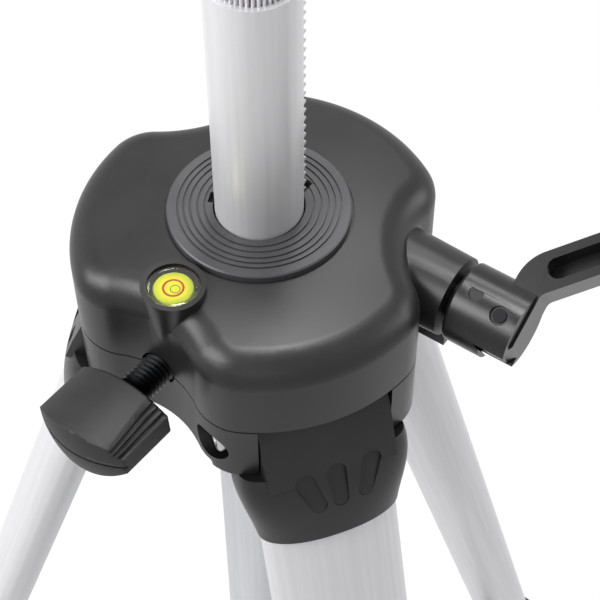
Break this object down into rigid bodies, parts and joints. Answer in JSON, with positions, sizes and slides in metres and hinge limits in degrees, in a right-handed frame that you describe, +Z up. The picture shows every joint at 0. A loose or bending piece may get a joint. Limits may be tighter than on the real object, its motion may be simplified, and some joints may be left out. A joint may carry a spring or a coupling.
{
  "type": "telescopic tripod",
  "caption": "Telescopic tripod for measuring gear with a geared centre column, folding crank, column lock, bubble level and flip-lever legs.",
  "frame": {"origin": "centre of the instrument seat on top of the column, at the root of the stud", "axes": "+Z up along the column and the stud, -Y along the leg nearest the viewer in the picture, +X to that viewer's right of the leg"},
  "size_m": [0.4864, 0.4279, 0.8335],
  "materials": {
    "crown_plastic": "satin moulded, charcoal",
    "collar_plastic": "satin moulded, dark grey",
    "leg_top_plastic": "satin moulded, charcoal",
    "crank_plastic": "satin moulded, charcoal",
    "grip_plastic": "fine grain, black",
    "knob_plastic": "satin moulded, charcoal",
    "clamp_plastic": "satin moulded, charcoal",
    "lever_plastic": "satin moulded, near black",
    "fitting_plastic": "satin moulded, near black",
    "column_metal": "satin anodised, light grey",
    "leg_metal": "satin anodised, light grey",
    "guide_metal": "satin anodised, grey",
    "arm_metal": "satin anodised, light grey",
    "head_metal": "knurled, dark grey",
    "plain_steel": "turned",
    "dark_screw": "blackened thread",
    "level_clear": "clear, domed top",
    "level_liquid": "yellow-green liquid",
    "foot_rubber": "matt black"
  },
  "bodies": {
    "crown": {"crown_cover": "crown_plastic", "crown_housing": "crown_plastic", "column_collar": "collar_plastic", "guide_tube": "guide_metal", "guide_ferrule": "fitting_plastic", "level_vial": "level_clear", "level_disc": "level_liquid", "lock_nut": "plain_steel", "leg_hinge_pins": "plain_steel", "shaft_bush": "fitting_plastic", "crown_screws": "plain_steel"},
    "column": {"column_tube": "column_metal", "head_plug": "head_metal", "head_stud": "plain_steel", "column_end_bush": "fitting_plastic"},
    "crank": {"crank_shaft": "plain_steel", "rack_pinion": "plain_steel", "crank_hub": "crank_plastic", "arm_pin": "dark_screw"},
    "folding_arm": {"crank_arm": "crank_plastic", "grip_axle": "plain_steel"},
    "grip": {"crank_grip": "grip_plastic"},
    "brake": {"brake_shoe": "fitting_plastic"},
    "lock": {"lock_screw": "dark_screw", "lock_knob": "knob_plastic"},
    "spreader": {"spreader_hub": "fitting_plastic"},
    "leg_1": {"leg_top_1": "leg_top_plastic", "upper_tube_1": "leg_metal", "upper_clamp_1": "clamp_plastic", "spreader_bracket_1": "fitting_plastic"},
    "upper_lever_1": {"upper_lever_1": "lever_plastic"},
    "middle_1": {"middle_tube_1": "leg_metal", "lower_clamp_1": "clamp_plastic"},
    "lower_lever_1": {"lower_lever_1": "lever_plastic"},
    "lower_1": {"lower_tube_1": "leg_metal", "foot_1": "foot_rubber"},
    "spreader_arm_1": {"spreader_arm_1": "arm_metal"},
    "leg_2": {"leg_top_2": "leg_top_plastic", "upper_tube_2": "leg_metal", "upper_clamp_2": "clamp_plastic", "spreader_bracket_2": "fitting_plastic"},
    "upper_lever_2": {"upper_lever_2": "lever_plastic"},
    "middle_2": {"middle_tube_2": "leg_metal", "lower_clamp_2": "clamp_plastic"},
    "lower_lever_2": {"lower_lever_2": "lever_plastic"},
    "lower_2": {"lower_tube_2": "leg_metal", "foot_2": "foot_rubber"},
    "spreader_arm_2": {"spreader_arm_2": "arm_metal"},
    "leg_3": {"leg_top_3": "leg_top_plastic", "upper_tube_3": "leg_metal", "upper_clamp_3": "clamp_plastic", "spreader_bracket_3": "fitting_plastic"},
    "upper_lever_3": {"upper_lever_3": "lever_plastic"},
    "middle_3": {"middle_tube_3": "leg_metal", "lower_clamp_3": "clamp_plastic"},
    "lower_lever_3": {"lower_lever_3": "lever_plastic"},
    "lower_3": {"lower_tube_3": "leg_metal", "foot_3": "foot_rubber"},
    "spreader_arm_3": {"spreader_arm_3": "arm_metal"}
  },
  "joints": [
    {"name": "column_slide", "type": "slide", "parent": "crown", "child": "column", "axis": [0, 0, 1], "range_m": [-0.0765, 0.2675]},
    {"name": "crank_turn", "type": "hinge", "parent": "crown", "child": "crank", "pos_m": [0.0153, 0.01032, -0.1198], "axis": [0.5592, -0.829, 0], "range_deg": [-2560, 736]},
    {"name": "arm_fold", "type": "hinge", "parent": "crank", "child": "folding_arm", "pos_m": [0.05528, -0.04896, -0.1198], "axis": [-0.4369, -0.2947, 0.8499], "range_deg": [-97, 0]},
    {"name": "grip_spin", "type": "hinge", "parent": "folding_arm", "child": "grip", "pos_m": [0.04881, 0.03292, -0.09474], "axis": [0.5592, -0.829, 0], "continuous": true},
    {"name": "brake_slide", "type": "slide", "parent": "crown", "child": "brake", "axis": [-0.866, -0.5, 0], "range_m": [-0.00042, 0.0025]},
    {"name": "lock_turn", "type": "hinge", "parent": "brake", "child": "lock", "pos_m": [-0.0445, -0.02292, -0.1315], "axis": [-0.866, -0.5, 0], "range_deg": [-103, 603]},
    {"name": "spreader_slide", "type": "slide", "parent": "crown", "child": "spreader", "axis": [0, 0, 1], "range_m": [-0.0001, 0.02375]},
    {"name": "leg_1_fold", "type": "hinge", "parent": "crown", "child": "leg_1", "pos_m": [0, -0.0407, -0.1435], "axis": [1, 0, 0], "range_deg": [0, 15.5]},
    {"name": "spreader_arm_1_turn", "type": "hinge", "parent": "leg_1", "child": "spreader_arm_1", "pos_m": [0, -0.18863, -0.64234], "axis": [1, 0, 0], "range_deg": [-0.1, 13.79]},
    {"name": "upper_lever_1_flip", "type": "hinge", "parent": "leg_1", "child": "upper_lever_1", "pos_m": [0, -0.24609, -0.69904], "axis": [-1, 0, 0], "range_deg": [0, 110]},
    {"name": "lower_lever_1_flip", "type": "hinge", "parent": "middle_1", "child": "lower_lever_1", "pos_m": [0, -0.26133, -0.75088], "axis": [-1, 0, 0], "range_deg": [0, 110]},
    {"name": "middle_1_slide", "type": "slide", "parent": "leg_1", "child": "middle_1", "axis": [0, -0.3173, -0.9483], "range_m": [0, 0.47]},
    {"name": "lower_1_slide", "type": "slide", "parent": "middle_1", "child": "lower_1", "axis": [0, -0.3173, -0.9483], "range_m": [0, 0.47]},
    {"name": "leg_2_fold", "type": "hinge", "parent": "crown", "child": "leg_2", "pos_m": [0.03525, 0.02035, -0.1435], "axis": [-0.5, 0.866, 0], "range_deg": [-0.05, 15.55]},
    {"name": "spreader_arm_2_turn", "type": "hinge", "parent": "leg_2", "child": "spreader_arm_2", "pos_m": [0.16336, 0.09431, -0.64234], "axis": [-0.5, 0.866, 0], "range_deg": [-0.1, 13.79]},
    {"name": "upper_lever_2_flip", "type": "hinge", "parent": "leg_2", "child": "upper_lever_2", "pos_m": [0.21312, 0.12304, -0.69904], "axis": [0.5, -0.866, 0], "range_deg": [0, 110]},
    {"name": "lower_lever_2_flip", "type": "hinge", "parent": "middle_2", "child": "lower_lever_2", "pos_m": [0.22632, 0.13066, -0.75088], "axis": [0.5, -0.866, 0], "range_deg": [0, 110]},
    {"name": "middle_2_slide", "type": "slide", "parent": "leg_2", "child": "middle_2", "axis": [0.2748, 0.1587, -0.9483], "range_m": [0, 0.47]},
    {"name": "lower_2_slide", "type": "slide", "parent": "middle_2", "child": "lower_2", "axis": [0.2748, 0.1587, -0.9483], "range_m": [0, 0.47]},
    {"name": "leg_3_fold", "type": "hinge", "parent": "crown", "child": "leg_3", "pos_m": [-0.03525, 0.02035, -0.1435], "axis": [-0.5, -0.866, 0], "range_deg": [-0.05, 15.55]},
    {"name": "spreader_arm_3_turn", "type": "hinge", "parent": "leg_3", "child": "spreader_arm_3", "pos_m": [-0.16336, 0.09431, -0.64234], "axis": [-0.5, -0.866, 0], "range_deg": [-0.1, 13.79]},
    {"name": "upper_lever_3_flip", "type": "hinge", "parent": "leg_3", "child": "upper_lever_3", "pos_m": [-0.21312, 0.12304, -0.69904], "axis": [0.5, 0.866, 0], "range_deg": [0, 110]},
    {"name": "lower_lever_3_flip", "type": "hinge", "parent": "middle_3", "child": "lower_lever_3", "pos_m": [-0.22632, 0.13066, -0.75088], "axis": [0.5, 0.866, 0], "range_deg": [0, 110]},
    {"name": "middle_3_slide", "type": "slide", "parent": "leg_3", "child": "middle_3", "axis": [-0.2748, 0.1587, -0.9483], "range_m": [0, 0.47]},
    {"name": "lower_3_slide", "type": "slide", "parent": "middle_3", "child": "lower_3", "axis": [-0.2748, 0.1587, -0.9483], "range_m": [0, 0.47]}
  ],
  "couplings": [
    {"joint": "crank_turn", "follows": "column_slide", "rad_per_m": -166.67},
    {"joint": "lock_turn", "follows": "brake_slide", "rad_per_m": 4188.8},
    {"joint": "spreader_slide", "follows": "leg_1_fold", "m_per_rad": 0.087037},
    {"joint": "spreader_arm_1_turn", "follows": "leg_1_fold", "ratio": 0.88327},
    {"joint": "leg_2_fold", "follows": "leg_1_fold", "ratio": 1},
    {"joint": "spreader_arm_2_turn", "follows": "leg_1_fold", "ratio": 0.88327},
    {"joint": "leg_3_fold", "follows": "leg_1_fold", "ratio": 1},
    {"joint": "spreader_arm_3_turn", "follows": "leg_1_fold", "ratio": 0.88327}
  ]
}
